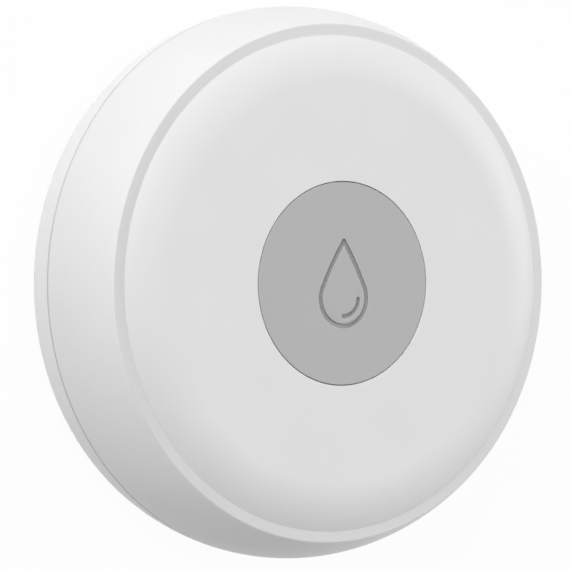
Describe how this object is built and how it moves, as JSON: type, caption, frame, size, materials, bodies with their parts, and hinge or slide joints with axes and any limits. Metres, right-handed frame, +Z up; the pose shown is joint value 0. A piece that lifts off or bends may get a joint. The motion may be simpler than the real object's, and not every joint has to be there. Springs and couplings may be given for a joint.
{
  "type": "water leak sensor",
  "caption": "Round white floor puck that senses water at steel probes in its underside, with a flush press button marked by a drop.",
  "frame": {"origin": "on the floor, under the middle of the round case", "axes": "+Z up, out of the face and along the button; +Y towards the tip of the drop on the button; +X to the right of the drop"},
  "size_m": [0.062, 0.062, 0.0185],
  "materials": {
    "case_plastic": "fine moulded texture",
    "button_plastic": "fine moulded texture",
    "inner_plastic": "moulded",
    "seal_rubber": "moulded",
    "plug_rubber": "moulded",
    "membrane_silicone": "moulded",
    "probe_steel": "turned",
    "screw_steel": "rolled",
    "contact_steel": "pressed",
    "cell_steel": "drawn",
    "post_brass": "turned",
    "board_laminate": "solder mask",
    "part_black": "moulded",
    "part_ceramic": "fired",
    "plunger_plastic": "moulded",
    "led_resin": "cast"
  },
  "bodies": {
    "case": {"top_shell": "case_plastic", "base_shell": "case_plastic", "housing_seal": "seal_rubber", "probe_seals": "seal_rubber", "screw_plugs": "plug_rubber", "button_membrane": "membrane_silicone", "probe_screws": "probe_steel", "case_screws": "screw_steel", "probe_posts": "post_brass", "circuit_board": "board_laminate", "radio_board": "board_laminate", "clamp_ring": "inner_plastic", "battery_holder": "inner_plastic", "switch_body": "part_black", "switch_plate": "contact_steel", "switch_dome": "contact_steel", "status_led": "led_resin", "radio_shield": "contact_steel", "radio_chip": "part_black", "main_chip": "part_black", "clock_crystal": "contact_steel", "capacitors": "part_ceramic", "resistors": "part_black", "battery_cell": "cell_steel", "positive_contact": "contact_steel", "negative_contact": "contact_steel"},
    "button": {"button_cap": "button_plastic"},
    "plunger": {"switch_plunger": "plunger_plastic"},
    "door_carrier": {"door_seal": "seal_rubber"},
    "door": {"battery_door": "case_plastic"}
  },
  "joints": [
    {"name": "button_press", "type": "slide", "parent": "case", "child": "button", "axis": [0, 0, -1], "range_m": [0, 0.0003], "stiffness_N_per_m": 300, "springref_m": -0.003, "deforming": ["button_membrane"]},
    {"name": "plunger_travel", "type": "slide", "parent": "case", "child": "plunger", "axis": [0, 0, -1], "range_m": [0, 0.0003], "deforming": ["switch_dome"]},
    {"name": "door_drop", "type": "slide", "parent": "case", "child": "door_carrier", "axis": [0, 0, -1], "range_m": [0, 0.0006]},
    {"name": "door_turn", "type": "hinge", "parent": "door_carrier", "child": "door", "pos_m": [0, 0, 0.0008], "axis": [0, 0, -1], "range_deg": [0, 45]}
  ],
  "couplings": [
    {"joint": "plunger_travel", "follows": "button_press", "ratio": 1},
    {"joint": "door_drop", "follows": "door_turn", "m_per_rad": 0.000763}
  ]
}
